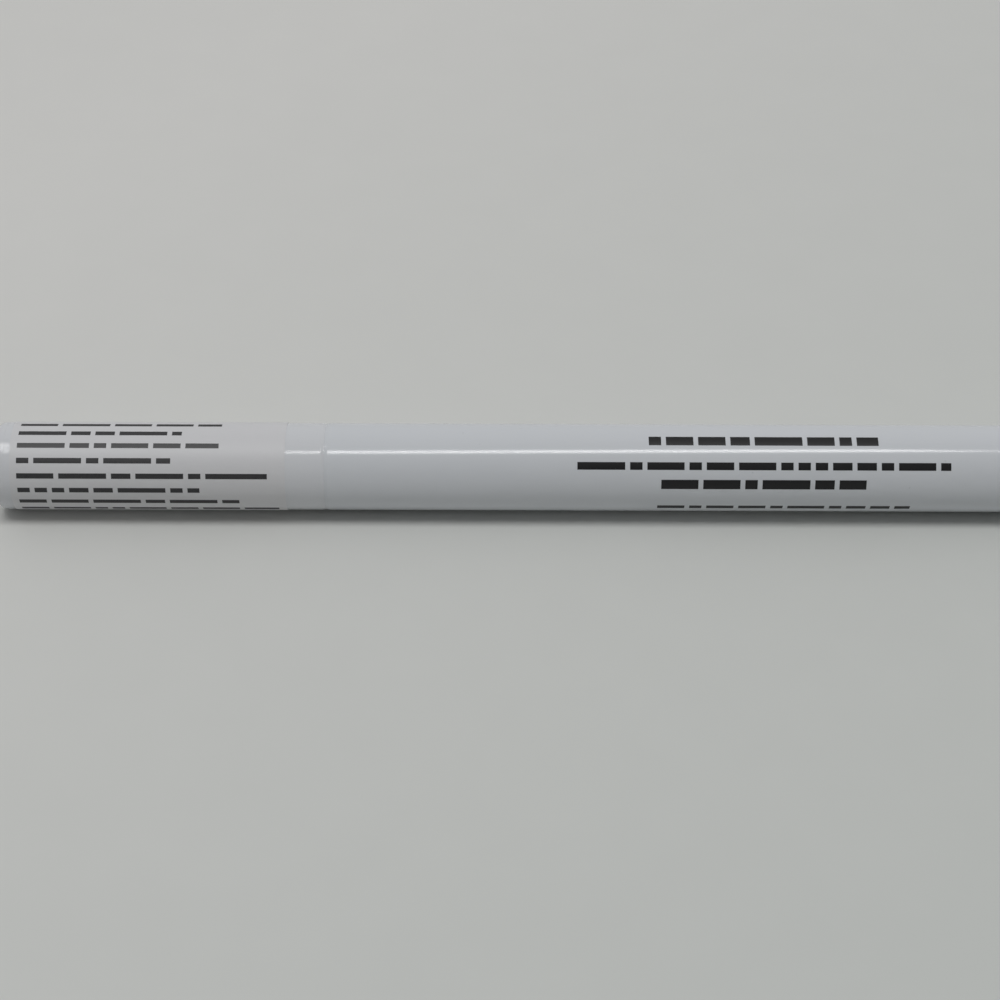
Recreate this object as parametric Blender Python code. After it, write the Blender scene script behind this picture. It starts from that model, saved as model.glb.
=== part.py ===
"""Liquid eyeliner pen: a slim white tube with a pull-off cap, lying on its side.

Metres, +Z up. The pen lies along X with the closed end of its cap towards -X, and the
origin is on the surface under its middle. Every turned piece is an outline of points
(place along the pen, radius), spun about the pen's axis. Places along the pen are
counted from the closed end of the cap.
"""

import math

import bmesh
import bpy
from mathutils import Vector

# Outside of the pen
BODY_RADIUS = 0.0050
BARREL_LENGTH = 0.0993  # from the seam to the tail, with the tail's button
SEAM_GAP = 0.0002  # open line between the cap's mouth and the barrel
SEAM_ROUND = 0.0002  # rounded edges on both sides of that line
BUTTON_LENGTH = 0.0012  # part of an end plug that shows
BUTTON_ROUND = 0.0010  # its rounded rim
PARTING_GAP = 0.0001  # line between an end plug and its tube
EDGE_BREAK = 0.0001  # small bevel on moulded edges

# Felt nib and the sleeve that holds it
NIB_RADIUS = 0.0009
NIB_EXPOSED = 0.0060  # from the point to the nose of the section
NIB_TAPER = 0.0047  # the pointed stretch of that
NIB_POINT_RADIUS = 0.00006
NIB_TAIL = 0.0024  # reach of the nib behind its sleeve
NIB_CLEARANCE = 0.00005
SLEEVE_WALL = 0.00035
SLEEVE_DEPTH = 0.0055  # reach of the sleeve into the section
SLEEVE_HEAD_LENGTH = 0.0005
SLEEVE_HEAD_LIP = 0.00025
SLEEVE_CLEARANCE = 0.00005

# Front section: cone, neck and spigot
NOSE_WALL = 0.00045
CONE_FLARE = 0.0004  # growth of the cone's radius from nose to shoulder
CONE_LENGTH = 0.0084
NECK_LENGTH = 0.0150  # from the shoulder to the cap's mouth
NECK_CLEARANCE = 0.0003  # between neck and cap bore
NECK_CHAMFER = 0.0005
NECK_ENTRY = 0.0006  # reach of the neck into the barrel's mouth, before the spigot
SECTION_WALL = 0.0008
SPIGOT_LENGTH = 0.0098  # reach of the section into the barrel
SPIGOT_CLEARANCE = 0.00005
SPIGOT_GROOVE_DEPTH = 0.00025
SPIGOT_GROOVE_WIDTH = 0.0009
BEAD_HEIGHT = 0.00012
BEAD_WIDTH = 0.0010
BEAD_SETBACK = 0.0052  # from the cap's mouth to the section's bead
SNAP_CLEARANCE = 0.00006
CHAMBER_SETBACK = 0.0024  # from the shoulder to the collector's chamber

# Wick, collector and bung
WICK_RADIUS = 0.0007
WICK_CLEARANCE = 0.0001
WICK_REACH = 0.0046  # into the tank, behind the bung
COLLECTOR_CLEARANCE = 0.00005
COLLECTOR_CORE_WALL = 0.0006
FIN_THICKNESS = 0.0005
FIN_PITCH = 0.0011
FEED_SLOT_WIDTH = 0.0004
FEED_SLOT_WALL = 0.0003  # material left between slot and wick bore
AIR_NOTCH_WIDTH = 0.0014
AIR_NOTCH_DEPTH = 0.0008
BUNG_LENGTH = 0.0040
BUNG_GROOVE_DEPTH = 0.0004
BUNG_GROOVE_WIDTH = 0.0008

# Barrel and tail plug
BARREL_WALL = 0.0009
TANK_STEP = 0.0003  # the tank's bore is this much smaller than the spigot's
TAIL_SPIGOT_LENGTH = 0.0080
TAIL_SPIGOT_WALL = 0.0009
TAIL_FLOOR = 0.0012
TAIL_GROOVE_DEPTH = 0.0003
TAIL_GROOVE_WIDTH = 0.0010
PRESS_CLEARANCE = 0.00005  # between a plug and its bore
STOP_GAP = 0.0002  # between end faces that stop each other
LEAD_IN = 0.0003  # bevel that guides a plug or spigot in

# Mixing balls
BALL_RADIUS = 0.00125
BALL_GAP = 0.00005  # under a ball, and between the two
BALL_PLACE = 0.0330  # from the cap's mouth to the first ball

# Cap, inner cap and spring
CAP_WALL = 0.0009
MOUTH_CHAMFER = 0.0003
PLUG_SPIGOT_LENGTH = 0.0026
PLUG_BOSS_LENGTH = 0.0012
PLUG_BOSS_WALL = 0.0007
PLUG_FLOOR = 0.0012
PRESS_TRAVEL = 0.0012  # how far the inner cap can be pushed in
PRESS_MARGIN = 0.0004
TIP_ROOM = 0.0009  # air in front of the nib
TIP_SIDE_ROOM = 0.0007
INNER_CAP_END = 0.0006
INNER_CAP_WALL = 0.0005
SEAL_CLEARANCE = 0.0001  # between inner cap and cone
SEAL_GAP = 0.0003  # between the inner cap's mouth and the shoulder
HEAD_ROOM = 0.0007  # in front of the sleeve's head
FLANGE_SETBACK = 0.0015
FLANGE_THICKNESS = 0.0010
FLANGE_CLEARANCE = 0.00015
FLANGE_GAP = 0.0003  # between flange and ledge
LEDGE_THICKNESS = 0.0010
LEDGE_SLOPE = 0.0006
SPRING_WIRE_RADIUS = 0.0002
SPRING_SIDE_ROOM = 0.0005  # between the inner cap's front tube and the wire
SPRING_SEAT_GAP = 0.0001
SPRING_CURLS = 5
CURL_POINTS = 10

# Wrapped film
LABEL_MARGIN = 0.0008  # from the front edge of the shell
LABEL_END_GAP = 0.0043  # from the film to the cap's mouth
LABEL_THICKNESS = 0.00008
LABEL_GLUE_GAP = 0.00003
LABEL_OPEN_FACETS = 6  # facets under the pen that the film leaves bare

# Facets round the axis: the same phase everywhere, with a flat one underneath
BODY_SIDES = 32
INNER_SIDES = 24
FINE_SIDES = 16
ROUND_STEPS = 4
TAPER_STEPS = 6
CUT_OVERRUN = 0.0005  # past the surface that a cutter opens

# Radii, from the nib outwards and from the body inwards
sleeve_bore = NIB_RADIUS + NIB_CLEARANCE
sleeve_radius = sleeve_bore + SLEEVE_WALL
nose_bore = sleeve_radius + SLEEVE_CLEARANCE
nose_radius = nose_bore + NOSE_WALL
cone_radius = nose_radius + CONE_FLARE
inner_cap_radius = cone_radius + SEAL_CLEARANCE + INNER_CAP_WALL
tip_bore = NIB_RADIUS + TIP_SIDE_ROOM
tip_tube_radius = tip_bore + INNER_CAP_WALL
spring_radius = tip_tube_radius + SPRING_SIDE_ROOM + SPRING_WIRE_RADIUS
wick_bore = WICK_RADIUS + WICK_CLEARANCE
cap_bore = BODY_RADIUS - CAP_WALL
neck_radius = cap_bore - NECK_CLEARANCE
chamber_radius = neck_radius - SECTION_WALL
barrel_bore = BODY_RADIUS - BARREL_WALL
tank_radius = barrel_bore - TANK_STEP

# Places along the pen, from the closed end of the cap
shell_place = BUTTON_LENGTH + PARTING_GAP
spring_seat = BUTTON_LENGTH + PLUG_SPIGOT_LENGTH
boss_end = spring_seat + PLUG_BOSS_LENGTH
inner_cap_place = boss_end + PRESS_MARGIN + PRESS_TRAVEL
tip_place = inner_cap_place + INNER_CAP_END + TIP_ROOM
nose_place = tip_place + NIB_EXPOSED
sleeve_place = nose_place - PARTING_GAP - SLEEVE_HEAD_LENGTH
seal_place = sleeve_place - HEAD_ROOM
flange_place = seal_place - FLANGE_SETBACK
ledge_place = flange_place + FLANGE_THICKNESS + FLANGE_GAP
shoulder_place = nose_place + CONE_LENGTH
cap_length = shoulder_place + NECK_LENGTH
barrel_place = cap_length + SEAM_GAP
nib_end = nose_place + SLEEVE_DEPTH + NIB_TAIL
chamber_place = shoulder_place + CHAMBER_SETBACK
section_end = barrel_place + SPIGOT_LENGTH
tank_place = section_end + STOP_GAP
bung_place = tank_place + STOP_GAP
bung_end = bung_place + BUNG_LENGTH
pen_length = barrel_place + BARREL_LENGTH
barrel_end = pen_length - BUTTON_LENGTH - PARTING_GAP
tail_place = pen_length - BUTTON_LENGTH - TAIL_SPIGOT_LENGTH
axis_height = BODY_RADIUS * math.cos(math.pi / BODY_SIDES)


def clear_scene():
    for obj in list(bpy.data.objects):
        bpy.data.objects.remove(obj, do_unlink=True)


def material(name, colour, roughness, metallic=0.0):
    made = bpy.data.materials.new(name)
    made.use_nodes = True
    shader = made.node_tree.nodes["Principled BSDF"]
    shader.inputs["Base Color"].default_value = (*colour, 1.0)
    shader.inputs["Roughness"].default_value = roughness
    shader.inputs["Metallic"].default_value = metallic
    return made


def frame_empty(name, parent=None, location=(0, 0, 0)):
    empty = bpy.data.objects.new(name, None)
    empty.empty_display_size = BODY_RADIUS
    empty.location = location
    empty.parent = parent
    bpy.context.collection.objects.link(empty)
    return empty


def add_mesh(name, bm, paint, carrier, place, smooth=True):
    """Turn a bmesh into a named object at its place along its carrier's axis."""
    mesh = bpy.data.meshes.new(name)
    bm.to_mesh(mesh)
    bm.free()
    if smooth:
        mesh.shade_smooth()
        mesh.set_sharp_from_angle(angle=math.radians(38))
    mesh.materials.append(paint)
    obj = bpy.data.objects.new(name, mesh)
    obj.location = place if isinstance(place, Vector) else (place, 0, 0)
    obj.parent = carrier
    bpy.context.collection.objects.link(obj)
    return obj


def arc(centre, radius, start, end, steps=ROUND_STEPS):
    """Points of an arc in an outline; 0 degrees points along the pen, 90 outwards."""
    points = []
    for step in range(steps + 1):
        angle = math.radians(start + (end - start) * step / steps)
        points.append((centre[0] + radius * math.cos(angle), centre[1] + radius * math.sin(angle)))
    return points


def turned(name, outline, sides, paint, carrier, place, turn=math.tau, start=None):
    """Spin an outline about the pen's axis.

    An outline that starts and ends on the axis is a solid of revolution, any other is
    closed on itself, so it makes a tube.
    """
    bm = bmesh.new()
    first = math.pi / sides if start is None else start
    verts = [bm.verts.new((x, r * math.sin(first), r * math.cos(first))) for x, r in outline]
    edges = [bm.edges.new(pair) for pair in zip(verts, verts[1:])]
    if outline[0][1] > 0:
        edges.append(bm.edges.new((verts[-1], verts[0])))
    whole = math.isclose(turn, math.tau)
    bmesh.ops.spin(
        bm,
        geom=verts + edges,
        cent=(0, 0, 0),
        axis=(-1, 0, 0),
        angle=turn,
        steps=round(sides * turn / math.tau),
        use_merge=whole,
    )
    if outline[0][1] == 0:
        on_axis = [v for v in bm.verts if math.hypot(v.co.y, v.co.z) < EDGE_BREAK / sides]
        bmesh.ops.remove_doubles(bm, verts=on_axis, dist=EDGE_BREAK / sides)
    if not whole:
        rim = [edge for edge in bm.edges if edge.is_boundary]
        bmesh.ops.holes_fill(bm, edges=rim, sides=len(outline))
    bmesh.ops.recalc_face_normals(bm, faces=bm.faces)
    return add_mesh(name, bm, paint, carrier, place)


def grooves(radius, depth, width, centres):
    """Outline points of ring grooves, from the front one to the rear one."""
    points = []
    for centre in centres:
        points += [(centre - width / 2, radius), (centre - width / 2 + depth / 2, radius - depth)]
        points += [(centre + width / 2 - depth / 2, radius - depth), (centre + width / 2, radius)]
    return points


def cutter(name, size, centre, carrier):
    """A hidden box that a Boolean takes away; its sizes are full lengths."""
    bm = bmesh.new()
    bmesh.ops.create_cube(bm, size=1)
    bmesh.ops.scale(bm, vec=size, verts=bm.verts)
    mesh = bpy.data.meshes.new(name)
    bm.to_mesh(mesh)
    bm.free()
    obj = bpy.data.objects.new(name, mesh)
    obj.location = centre
    obj.parent = carrier
    obj.hide_render = True
    obj.display_type = "WIRE"
    bpy.context.collection.objects.link(obj)
    return obj


def cut(obj, tool):
    boolean = obj.modifiers.new("cut_" + tool.name, "BOOLEAN")
    boolean.operation = "DIFFERENCE"
    boolean.solver = "EXACT"
    boolean.object = tool


def cap_end_plug(paint, carrier):
    """Button flush with the cap, its spigot, and the hollow boss that centres the spring."""
    spigot = cap_bore - PRESS_CLEARANCE
    boss = tip_tube_radius + SPRING_SIDE_ROOM - SPRING_SEAT_GAP
    boss_hollow = boss - PLUG_BOSS_WALL
    outline = [(0, 0)]
    outline += arc((BUTTON_ROUND, BODY_RADIUS - BUTTON_ROUND), BUTTON_ROUND, 180, 90)
    outline += [
        (BUTTON_LENGTH - EDGE_BREAK, BODY_RADIUS),
        (BUTTON_LENGTH, BODY_RADIUS - EDGE_BREAK),
        (BUTTON_LENGTH, spigot),
        (spring_seat - LEAD_IN, spigot),
        (spring_seat, spigot - LEAD_IN),
        (spring_seat, boss),
        (boss_end - EDGE_BREAK, boss),
        (boss_end, boss - EDGE_BREAK),
        (boss_end, boss_hollow),
        (PLUG_FLOOR, boss_hollow),
        (PLUG_FLOOR, 0),
    ]
    return turned("cap_end_plug", outline, BODY_SIDES, paint, carrier, 0)


def cap_shell(paint, carrier):
    """Tube of the cap, with the ledge that keeps the inner cap in and the snap bead."""
    length = cap_length - shell_place
    ledge = ledge_place - shell_place
    ledge_radius = inner_cap_radius + FLANGE_CLEARANCE
    bead_radius = neck_radius + BEAD_HEIGHT + SNAP_CLEARANCE
    bead = length - BEAD_SETBACK + BEAD_WIDTH
    outline = [(0, cap_bore), (0, BODY_RADIUS - EDGE_BREAK), (EDGE_BREAK, BODY_RADIUS)]
    outline += arc((length - SEAM_ROUND, BODY_RADIUS - SEAM_ROUND), SEAM_ROUND, 90, 0)
    outline += [
        (length, cap_bore + MOUTH_CHAMFER),
        (length - MOUTH_CHAMFER, cap_bore),
        (bead + BEAD_WIDTH, cap_bore),
        (bead + BEAD_WIDTH / 2, bead_radius),
        (bead, bead_radius),
        (bead - BEAD_WIDTH / 2, cap_bore),
        (ledge + LEDGE_THICKNESS + LEDGE_SLOPE, cap_bore),
        (ledge + LEDGE_THICKNESS, ledge_radius),
        (ledge, ledge_radius),
        (ledge, cap_bore),
    ]
    return turned("cap_shell", outline, BODY_SIDES, paint, carrier, shell_place)


def wrap_label(paint, carrier):
    """Thin film round the shell, open along a strip underneath."""
    place = shell_place + LABEL_MARGIN
    length = cap_length - LABEL_END_GAP - place
    inside = BODY_RADIUS + LABEL_GLUE_GAP
    outside = inside + LABEL_THICKNESS
    outline = [(0, inside), (0, outside), (length, outside), (length, inside)]
    facet = math.tau / BODY_SIDES
    covered = BODY_SIDES - LABEL_OPEN_FACETS
    start = -facet * covered / 2
    return turned("wrap_label", outline, BODY_SIDES, paint, carrier, place, facet * covered, start)


def cap_spring(paint, carrier):
    """Coil between the end plug and the inner cap's flange, one wire in open curls."""
    front = spring_seat + SPRING_SEAT_GAP + SPRING_WIRE_RADIUS
    rear = flange_place - SPRING_SEAT_GAP - SPRING_WIRE_RADIUS
    count = SPRING_CURLS * CURL_POINTS + 1
    points = []
    for step in range(count):
        share = step / (count - 1)
        angle = math.tau * SPRING_CURLS * share
        across = (spring_radius * math.cos(angle), spring_radius * math.sin(angle))
        points.append(Vector(((rear - front) * share, *across)))
    curve = bpy.data.curves.new("cap_spring", "CURVE")
    curve.dimensions = "3D"
    curve.bevel_depth = SPRING_WIRE_RADIUS
    curve.bevel_resolution = 1
    curve.use_fill_caps = True
    spline = curve.splines.new("POLY")
    spline.points.add(count - 1)
    for point, co in zip(spline.points, points):
        point.co = (*co, 1)
    curve.materials.append(paint)
    obj = bpy.data.objects.new("cap_spring", curve)
    obj.location = (front, 0, 0)
    obj.parent = carrier
    bpy.context.collection.objects.link(obj)
    least = min(
        (a - b).length
        for index, a in enumerate(points)
        for b in points[index + CURL_POINTS // 2 :]
    )
    print(f"cap_spring: least gap between curls {(least - 2 * SPRING_WIRE_RADIUS) * 1000:.2f} mm")
    return obj


def inner_cap(paint, carrier):
    """Closed tube over the nib: a narrow end for the spring, a flange, and the seal."""
    length = shoulder_place - SEAL_GAP - inner_cap_place
    flange = flange_place - inner_cap_place
    seal = seal_place - inner_cap_place
    flange_radius = cap_bore - FLANGE_CLEARANCE
    flange_end = flange + FLANGE_THICKNESS
    outline = [
        (0, 0),
        (0, tip_tube_radius - EDGE_BREAK),
        (EDGE_BREAK, tip_tube_radius),
        (flange, tip_tube_radius),
        (flange, flange_radius),
        (flange_end - EDGE_BREAK, flange_radius),
        (flange_end, flange_radius - EDGE_BREAK),
        (flange_end, inner_cap_radius),
        (length - EDGE_BREAK, inner_cap_radius),
        (length, inner_cap_radius - EDGE_BREAK),
        (length, cone_radius + SEAL_CLEARANCE),
        (seal + HEAD_ROOM, nose_radius + SEAL_CLEARANCE),
        (seal, nose_radius + SEAL_CLEARANCE),
        (seal - LEAD_IN, tip_bore),
        (INNER_CAP_END, tip_bore),
        (INNER_CAP_END, 0),
    ]
    return turned("inner_cap", outline, INNER_SIDES, paint, carrier, inner_cap_place)


def nib(paint, carrier):
    """Felt rod with a long, slightly bulging point."""
    length = nib_end - tip_place
    outline = [(0, 0)]
    for step in range(TAPER_STEPS + 1):
        share = step / TAPER_STEPS
        swell = math.sin(share * math.pi / 2)
        radius = NIB_POINT_RADIUS + (NIB_RADIUS - NIB_POINT_RADIUS) * (share + swell) / 2
        outline.append((NIB_TAPER * share, radius))
    outline += [(length - EDGE_BREAK, NIB_RADIUS), (length, NIB_RADIUS - EDGE_BREAK), (length, 0)]
    return turned("nib", outline, FINE_SIDES, paint, carrier, tip_place)


def nib_sleeve(paint, carrier):
    """Flanged tube between the nib and the section's nose."""
    head = sleeve_radius + SLEEVE_HEAD_LIP
    length = nose_place + SLEEVE_DEPTH - sleeve_place
    outline = [
        (0, sleeve_bore),
        (0, head - EDGE_BREAK),
        (EDGE_BREAK, head),
        (SLEEVE_HEAD_LENGTH, head),
        (SLEEVE_HEAD_LENGTH, sleeve_radius),
        (length, sleeve_radius),
        (length, sleeve_bore),
    ]
    return turned("nib_sleeve", outline, FINE_SIDES, paint, carrier, sleeve_place)


def front_section(paint, carrier):
    """Cone, shoulder, neck with its snap bead, and the grooved spigot in the barrel."""
    length = section_end - nose_place
    bead = cap_length - BEAD_SETBACK - nose_place
    entry = barrel_place + NECK_ENTRY - nose_place
    spigot = barrel_bore - SPIGOT_CLEARANCE
    bead_radius = neck_radius + BEAD_HEIGHT
    nib_bore = NIB_RADIUS + NIB_CLEARANCE
    sleeve_floor = SLEEVE_DEPTH + STOP_GAP
    nib_floor = nib_end + STOP_GAP - nose_place
    chamber = chamber_place - nose_place
    grip = length - entry
    outline = [
        (0, nose_bore),
        (0, nose_radius - EDGE_BREAK),
        (EDGE_BREAK, nose_radius),
        (CONE_LENGTH, cone_radius),
        (CONE_LENGTH, neck_radius - NECK_CHAMFER),
        (CONE_LENGTH + NECK_CHAMFER, neck_radius),
        (bead - BEAD_WIDTH / 2, neck_radius),
        (bead - BEAD_WIDTH / 4, bead_radius),
        (bead + BEAD_WIDTH / 4, bead_radius),
        (bead + BEAD_WIDTH / 2, neck_radius),
        (entry, neck_radius),
        (entry, spigot),
    ]
    centres = (entry + grip / 3, entry + grip * 2 / 3)
    outline += grooves(spigot, SPIGOT_GROOVE_DEPTH, SPIGOT_GROOVE_WIDTH, centres)
    outline += [
        (length - LEAD_IN, spigot),
        (length, spigot - LEAD_IN),
        (length, chamber_radius),
        (chamber, chamber_radius),
        (chamber, wick_bore),
        (nib_floor, wick_bore),
        (nib_floor, nib_bore),
        (sleeve_floor, nib_bore),
        (sleeve_floor, nose_bore),
    ]
    return turned("front_section", outline, BODY_SIDES, paint, carrier, nose_place)


def feed_wick(paint, carrier):
    """Fibre rod from behind the nib, through collector and bung, into the tank."""
    front = nib_end + SEAL_GAP
    length = bung_end + WICK_REACH - front
    outline = [
        (0, 0),
        (0, WICK_RADIUS - EDGE_BREAK),
        (EDGE_BREAK, WICK_RADIUS),
        (length - EDGE_BREAK, WICK_RADIUS),
        (length, WICK_RADIUS - EDGE_BREAK),
        (length, 0),
    ]
    return turned("feed_wick", outline, FINE_SIDES, paint, carrier, front)


def collector(paint, carrier):
    """Finned buffer: thin rings on a bored core, a feed slot above, an air notch below."""
    front = chamber_place + STOP_GAP
    length = section_end - STOP_GAP - front
    fin_radius = chamber_radius - COLLECTOR_CLEARANCE
    core_radius = wick_bore + COLLECTOR_CORE_WALL
    gaps = int((length - FIN_THICKNESS) / FIN_PITCH)
    pitch = (length - FIN_THICKNESS) / gaps
    outline = [(0, wick_bore)]
    for fin in range(gaps + 1):
        x = pitch * fin
        outline += [(x, core_radius), (x, fin_radius)] if fin else [(x, fin_radius)]
        outline += [(x + FIN_THICKNESS, fin_radius)]
        outline += [(x + FIN_THICKNESS, core_radius)] if fin < gaps else []
    outline += [(length, wick_bore)]
    made = turned("collector", outline, INNER_SIDES, paint, carrier, front)
    long = length + 2 * CUT_OVERRUN
    floor = wick_bore + FEED_SLOT_WALL
    top = fin_radius + CUT_OVERRUN
    slot_size = (long, FEED_SLOT_WIDTH, top - floor)
    slot_centre = (front + length / 2, 0, (top + floor) / 2)
    cut(made, cutter("feed_slot_cutter", slot_size, slot_centre, carrier))
    notch_size = (long, AIR_NOTCH_WIDTH, AIR_NOTCH_DEPTH + CUT_OVERRUN)
    notch_centre = (front + length / 2, 0, -top + notch_size[2] / 2)
    cut(made, cutter("air_notch_cutter", notch_size, notch_centre, carrier))
    return made


def tank_bung(paint, carrier):
    """Seal with two ring grooves, bored for the wick."""
    radius = tank_radius - PRESS_CLEARANCE
    centres = (BUNG_LENGTH / 3, BUNG_LENGTH * 2 / 3)
    outline = [(0, wick_bore), (0, radius - LEAD_IN), (LEAD_IN, radius)]
    outline += grooves(radius, BUNG_GROOVE_DEPTH, BUNG_GROOVE_WIDTH, centres)
    outline += [
        (BUNG_LENGTH - LEAD_IN, radius),
        (BUNG_LENGTH, radius - LEAD_IN),
        (BUNG_LENGTH, wick_bore),
    ]
    return turned("tank_bung", outline, INNER_SIDES, paint, carrier, bung_place)


def barrel(paint, carrier):
    """Straight tube: a wide bore for the section's spigot, then the tank."""
    length = barrel_end - barrel_place
    step = tank_place - barrel_place
    outline = [(0, barrel_bore + MOUTH_CHAMFER)]
    outline += arc((SEAM_ROUND, BODY_RADIUS - SEAM_ROUND), SEAM_ROUND, 180, 90)
    outline += [
        (length - EDGE_BREAK, BODY_RADIUS),
        (length, BODY_RADIUS - EDGE_BREAK),
        (length, tank_radius + EDGE_BREAK),
        (length - EDGE_BREAK, tank_radius),
        (step, tank_radius),
        (step, barrel_bore),
        (MOUTH_CHAMFER, barrel_bore),
    ]
    return turned("barrel", outline, BODY_SIDES, paint, carrier, barrel_place)


def tail_plug(paint, carrier):
    """Button flush with the barrel, on a hollow spigot with two ring grooves."""
    radius = tank_radius - PRESS_CLEARANCE
    hollow = radius - TAIL_SPIGOT_WALL
    rim = TAIL_SPIGOT_LENGTH
    end = rim + BUTTON_LENGTH
    centres = (rim / 3, rim * 2 / 3)
    outline = [(end - TAIL_FLOOR, 0), (end - TAIL_FLOOR, hollow), (0, hollow)]
    outline += [(0, radius - LEAD_IN), (LEAD_IN, radius)]
    outline += grooves(radius, TAIL_GROOVE_DEPTH, TAIL_GROOVE_WIDTH, centres)
    outline += [(rim, radius), (rim, BODY_RADIUS - EDGE_BREAK), (rim + EDGE_BREAK, BODY_RADIUS)]
    outline += arc((end - BUTTON_ROUND, BODY_RADIUS - BUTTON_ROUND), BUTTON_ROUND, 90, 0)
    outline += [(end, 0)]
    return turned("tail_plug", outline, BODY_SIDES, paint, carrier, tail_place)


def mixing_ball(name, paint, carrier, place):
    """Steel ball that lies on the tank's lowest facet; its origin is its centre."""
    bm = bmesh.new()
    bmesh.ops.create_uvsphere(bm, u_segments=FINE_SIDES, v_segments=FINE_SIDES // 2, radius=BALL_RADIUS)
    drop = tank_radius * math.cos(math.pi / BODY_SIDES) - BALL_RADIUS - BALL_GAP
    return add_mesh(name, bm, paint, carrier, Vector((place, 0, -drop)))


def build():
    clear_scene()
    white = material("white_gloss_plastic", (0.80, 0.81, 0.83), 0.16)
    film = material("matte_white_film", (0.76, 0.77, 0.79), 0.55)
    black = material("black_gloss_plastic", (0.012, 0.012, 0.013), 0.22)
    milky = material("milky_plastic", (0.70, 0.71, 0.70), 0.38)
    felt = material("inked_felt", (0.010, 0.010, 0.012), 0.85)
    fibre = material("wick_fibre", (0.030, 0.029, 0.030), 0.90)
    steel = material("spring_steel", (0.55, 0.55, 0.56), 0.24, 1.0)
    ball_steel = material("polished_steel", (0.62, 0.62, 0.64), 0.10, 1.0)

    pen_axis = frame_empty("pen_axis", location=(-pen_length / 2, 0, axis_height))
    cap_axis = frame_empty("cap_pull_axis", pen_axis)
    inner_axis = frame_empty("inner_cap_press_axis", cap_axis)
    front_ball_axis = frame_empty("front_ball_axis", pen_axis)
    rear_ball_axis = frame_empty("rear_ball_axis", front_ball_axis)

    cap_end_plug(white, cap_axis)
    cap_shell(white, cap_axis)
    wrap_label(film, cap_axis)
    cap_spring(steel, cap_axis)
    inner_cap(milky, inner_axis)
    nib(felt, pen_axis)
    nib_sleeve(black, pen_axis)
    front_section(black, pen_axis)
    feed_wick(fibre, pen_axis)
    collector(milky, pen_axis)
    tank_bung(milky, pen_axis)
    barrel(white, pen_axis)
    tail_plug(white, pen_axis)
    first_ball = cap_length + BALL_PLACE
    mixing_ball("mixing_ball_front", ball_steel, front_ball_axis, first_ball)
    second_ball = first_ball + 2 * BALL_RADIUS + BALL_GAP
    mixing_ball("mixing_ball_rear", ball_steel, rear_ball_axis, second_ball)


build()
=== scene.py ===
"""A slim liquid eyeliner pen on its side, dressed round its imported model.

Metres, in the model's frame: the pen lies along X with the closed end of its cap towards
-X. Each turned piece is drawn as an outline of (place along the pen, radius) points.
"""

import math
import random

import bmesh
import bpy
from mathutils import Matrix, Vector


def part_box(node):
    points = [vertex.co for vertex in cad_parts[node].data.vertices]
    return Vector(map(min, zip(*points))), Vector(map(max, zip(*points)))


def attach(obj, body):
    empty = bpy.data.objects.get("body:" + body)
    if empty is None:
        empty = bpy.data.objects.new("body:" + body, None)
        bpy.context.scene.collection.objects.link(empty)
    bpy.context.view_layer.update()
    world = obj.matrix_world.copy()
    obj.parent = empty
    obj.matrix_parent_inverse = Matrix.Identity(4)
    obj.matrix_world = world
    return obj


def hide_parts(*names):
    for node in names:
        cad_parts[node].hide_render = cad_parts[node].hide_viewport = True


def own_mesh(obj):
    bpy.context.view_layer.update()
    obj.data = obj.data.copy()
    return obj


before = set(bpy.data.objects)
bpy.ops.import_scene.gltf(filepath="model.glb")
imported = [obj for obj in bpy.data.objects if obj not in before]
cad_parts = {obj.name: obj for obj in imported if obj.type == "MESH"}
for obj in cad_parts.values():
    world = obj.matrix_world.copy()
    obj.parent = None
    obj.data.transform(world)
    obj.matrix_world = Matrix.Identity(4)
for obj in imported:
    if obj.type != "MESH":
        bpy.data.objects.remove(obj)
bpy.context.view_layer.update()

# Camera
# The photographer's place: in front of the pen, a little over forty degrees above the
# table and close, so that the cap's end touches the left edge of the picture and the
# barrel runs out on the right. The pen drops by a hair from left to right.
barrel_low, barrel_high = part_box("barrel")
axis_height = (barrel_low.z + barrel_high.z) / 2
tube_radius = (barrel_high.y - barrel_low.y) / 2
camera_elevation = math.radians(41)
camera_roll = math.radians(0.19)
camera_reach = 0.2692
camera_lens = 84.3
nearest_seen = 0.01
picture_middle = -0.01097
axis_above_middle = 0.0038
sight = Vector((0, math.cos(camera_elevation), -math.sin(camera_elevation)))
sight_up = Vector((0, math.sin(camera_elevation), math.cos(camera_elevation)))
seen_middle = Vector((picture_middle, 0, axis_height)) - sight_up * axis_above_middle
tilt = Matrix.Rotation(math.pi / 2 - camera_elevation, 3, "X")
bpy.ops.object.camera_add(
    location=seen_middle - sight * camera_reach,
    rotation=(tilt @ Matrix.Rotation(camera_roll, 3, "Z")).to_euler(),
)
camera = bpy.context.object
camera.data.lens = camera_lens
camera.data.clip_start = nearest_seen
bpy.context.scene.camera = camera

# Barrel
# A straight tube of glossy white plastic, which is the tank for the liquid. It is moulded
# in one shot with its bore. At the seam it and the cap have a long, shallow chamfer, so that
# only the gleam along the pen breaks there.
turned_sides = 128
easing = 0.00006
held_eases = 2.5
sharp_from = math.radians(28)
smooth_below = math.radians(40)
joined_within = 0.000001
seam_length = 0.00035
seam_depth = 0.00007
seam_hold = 0.00002
seam_reach = 0.000098
joint_round = 0.000008
joint_gap = 0.000003
joint_steps = 5
wall = 0.0009
tank_step = 0.0003
tank_lead = 0.0002
mouth_lead = 0.0003


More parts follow.
